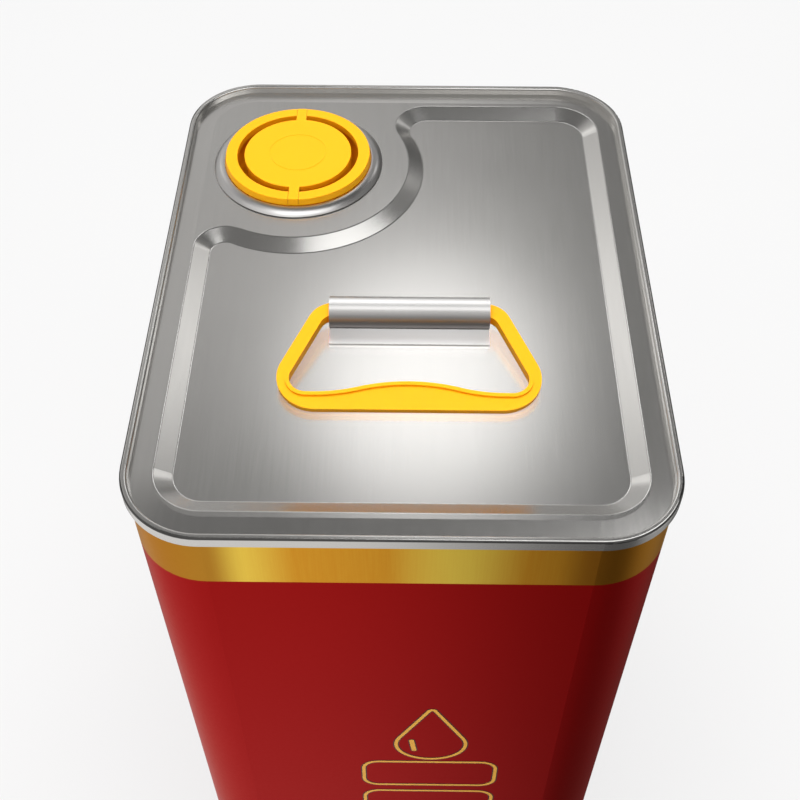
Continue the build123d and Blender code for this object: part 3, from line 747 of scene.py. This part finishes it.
# ---------------------------------------------------------------------------
# Surroundings, which light the can and show in its gloss
# ---------------------------------------------------------------------------
# Ramps over the direction of a ray that leaves the can: x goes right, y to the back, z up, level is z
# without its sign, and ahead is y for the ray laid flat. Each is (starts at, ends at, before, after).
ROOM_BY_X = (-0.26, 0.22, 0.54, 0.22)
ROOM_BY_Z = (0.70, 0.84, 1.0, 0.30)
LOW_RIGHT_BY_X = (0.15, 0.45, 0.0, 1.0)
LOW_RIGHT_BY_Z = (0.25, 0.45, 1.0, 0.0)
LOW_RIGHT_SHADE = (0.0, 1.0, 1.0, 0.45)
FRONT_BY_Y = (-0.45, -0.10, 1.0, 0.0)
FRONT_BY_Z = (0.05, 0.80, 0.15, 0.65)
BACKDROP_BY_AHEAD = (0.50, 0.88, 0.0, 0.22)
BACKDROP_BY_X = (-0.10, 0.20, 1.0, 0.2)
BELOW_LEFT_BY_X = (-0.70, -0.30, 0.80, 0.0)
BELOW_RIGHT_BY_X = (0.40, 0.80, 0.0, 0.80)
BELOW_RIGHT_BY_Y = (0.35, 0.65, 1.0, 0.05)
BELOW_FRONT_BY_X = (-0.06, 0.155, 0.86, 0.10)
BELOW_FRONT_BY_Y = (0.25, 0.60, 1.0, 0.0)
ABOVE_BY_Z = (-0.02, 0.02, 0.0, 1.0)
BELOW_BY_Z = (-0.02, 0.02, 1.0, 0.0)
HORIZON_BY_X = (-0.7, 0.4, 0.45, 0.06)
HORIZON_BY_LEVEL = (0.06, 0.16, 1.0, 0.0)
REAR_BY_X = (-0.06, 0.14, 0.33, 0.13)
REAR_BY_AHEAD = (0.90, 0.97, 0.0, 1.0)
REAR_BY_LEVEL = (0.08, 0.18, 1.0, 0.0)

# Round soft panels: degrees right of straight behind, degrees up, inner and outer radius in degrees, light
PANELS = (
    (0.0, 18.0, 7.0, 12.5, 1.00),
    (-36.0, 33.0, 1.0, 7.5, 1.75),
    (36.5, 33.5, 1.0, 7.0, 1.90),
    (24.0, 25.0, 3.0, 8.0, 0.42),
    (12.0, 12.0, 3.0, 9.0, 0.42),
)
WARM_WHITE = shade(1.0, 0.99, 0.98)


def light_above(nodes, x, y, z):
    """Above the horizon: lighter on the left, darker overhead, low on the right and low in front."""
    room = nodes.times(nodes.ramp(x, ROOM_BY_X), nodes.ramp(z, ROOM_BY_Z))
    low_right = nodes.times(nodes.ramp(x, LOW_RIGHT_BY_X), nodes.ramp(z, LOW_RIGHT_BY_Z))
    room = nodes.times(room, nodes.ramp(low_right, LOW_RIGHT_SHADE))
    front = nodes.ramp(y, FRONT_BY_Y)
    front_room = nodes.times(front, nodes.ramp(z, FRONT_BY_Z))
    return nodes.calculate("MULTIPLY_ADD", room, nodes.rest_of(front), front_room)


def light_below(nodes, x, y, ahead):
    """Below the horizon: pale on both sides and in front on the left, dimmer behind the can."""
    behind = nodes.times(nodes.ramp(ahead, BACKDROP_BY_AHEAD), nodes.ramp(x, BACKDROP_BY_X))
    right = nodes.times(nodes.ramp(x, BELOW_RIGHT_BY_X), nodes.ramp(y, BELOW_RIGHT_BY_Y))
    sides = nodes.larger(nodes.ramp(x, BELOW_LEFT_BY_X), right)
    front = nodes.times(nodes.ramp(x, BELOW_FRONT_BY_X), nodes.ramp(y, BELOW_FRONT_BY_Y))
    return nodes.larger(nodes.larger(behind, front), sides)


def panel_light(nodes, direction, azimuth, elevation, inner, outer, light):
    """One panel: full light inside its inner radius, none outside its outer one."""
    turn, rise = math.radians(azimuth), math.radians(elevation)
    centre = (math.sin(turn) * math.cos(rise), math.cos(turn) * math.cos(rise), math.sin(rise))
    nearness = nodes.vector("DOT_PRODUCT", direction, centre, "Value")
    return nodes.ramp(nearness, (math.cos(math.radians(outer)), math.cos(math.radians(inner)), 0.0, light))


def add_surroundings():
    """The room round the can, with soft panels, a pale horizon and a plain stretch straight behind."""
    world = bpy.data.worlds.new("studio")
    world.use_nodes = True
    bpy.context.scene.world = world
    nodes = Nodes(world.node_tree)
    direction = world.node_tree.nodes.new("ShaderNodeTexCoord").outputs["Generated"]
    x, y, z = nodes.split(direction)
    level = nodes.calculate("ABSOLUTE", z)
    ahead = nodes.calculate("DIVIDE", y, nodes.calculate("SQRT", nodes.rest_of(nodes.times(z, z))))
    above = nodes.times(light_above(nodes, x, y, z), nodes.ramp(z, ABOVE_BY_Z))
    below = nodes.times(light_below(nodes, x, y, ahead), nodes.ramp(z, BELOW_BY_Z))
    light = nodes.calculate("ADD", above, below)
    for panel in PANELS:
        light = nodes.larger(light, panel_light(nodes, direction, *panel))
    light = nodes.larger(light, nodes.times(nodes.ramp(x, HORIZON_BY_X), nodes.ramp(level, HORIZON_BY_LEVEL)))
    rear = nodes.times(nodes.ramp(ahead, REAR_BY_AHEAD), nodes.ramp(level, REAR_BY_LEVEL))
    change = nodes.calculate("SUBTRACT", nodes.ramp(x, REAR_BY_X), light)
    light = nodes.calculate("MULTIPLY_ADD", rear, change, light)
    background = world.node_tree.nodes["Background"]
    nodes.feed(background.inputs["Color"], WARM_WHITE)
    nodes.feed(background.inputs["Strength"], light)


# ---------------------------------------------------------------------------
# Lamps
# ---------------------------------------------------------------------------
def link_group(lamp, items, state):
    """A group of objects that a lamp takes in or leaves out."""
    group = bpy.data.collections.new(f"{lamp.name}_{state.lower()}")
    for item in items:
        group.objects.link(item)
    for member in group.collection_objects:
        member.light_linking.link_state = state
    return group


def add_softbox(
    name, place, target, size, power, glossy=True, shape="RECTANGLE", spin=0.0,
    only_for=(), not_for=(), unblocked_by=(),
):
    """An area lamp, aimed at a target, that the camera doesn't see; spin turns it about its aim.

    It lights the only_for objects alone, or all but the not_for ones, and the unblocked_by ones cast no
    shadow in its light.
    """
    data = bpy.data.lights.new(name, "AREA")
    data.shape = shape
    data.size, data.size_y = size
    data.energy = power
    lamp = bpy.data.objects.new(name, data)
    lamp.visible_camera = False
    lamp.visible_glossy = glossy
    lamp.location = place
    aim = (Vector(target) - Vector(place)).to_track_quat("-Z", "Y")
    lamp.rotation_euler = (aim @ Quaternion((0.0, 0.0, 1.0), spin)).to_euler()
    bpy.context.scene.collection.objects.link(lamp)
    if only_for:
        lamp.light_linking.receiver_collection = link_group(lamp, only_for, "INCLUDE")
    if not_for:
        lamp.light_linking.receiver_collection = link_group(lamp, not_for, "EXCLUDE")
    if unblocked_by:
        lamp.light_linking.blocker_collection = link_group(lamp, unblocked_by, "EXCLUDE")


def add_lamps(floor):
    """Soft light from above and the left, and the lamps that shape what each metal piece reflects."""
    add_softbox(
        "overhead", place=(0.0, 0.25, 2.6), target=(0.0, 0.0, 0.3), size=(2.2, 2.0), power=70.0, glossy=False
    )
    add_softbox(
        "highlight", place=(0.030, 0.831, 1.319), target=(0.008, -0.0484, 0.295), size=(0.36, 0.34),
        power=0.57, shape="ELLIPSE", unblocked_by=(NODES["handle"], NODES["handle_strap"]),
    )
    add_softbox(
        "top_panel", place=(0.0, -0.087, 0.70), target=(0.0, -0.087, 0.30), size=(0.40, 0.206),
        power=0.36, not_for=(NODES["top_end"],),
    )
    add_softbox(
        "boss_panel", place=(0.204, -0.046, 0.70), target=(0.204, -0.046, 0.30), size=(0.46, 0.24),
        power=0.60, spin=math.radians(30.0), only_for=(NODES["top_end"],),
    )
    add_softbox(
        "front_left", place=(-0.40, -0.42, 0.25), target=(0.0, -0.11, 0.15), size=(0.30, 0.30),
        power=2.0, glossy=False, not_for=(floor, NODES["handle"]),
    )
    add_softbox(
        "strap_kicker", place=(0.0, 0.289, 0.694), target=(0.0, -0.019, 0.30), size=(0.50, 0.50),
        power=0.80, only_for=(NODES["handle_strap"],),
    )
    add_softbox(
        "ring_kicker", place=(-0.16, -0.08, 0.66), target=(-0.04, 0.062, 0.30), size=(0.45, 0.35),
        power=0.22, only_for=(NODES["crimp_ring"],),
    )


add_camera()
studio_floor = add_floor()
add_dome()
add_surroundings()
add_lamps(studio_floor)
bpy.context.scene.view_settings.view_transform = "Standard"
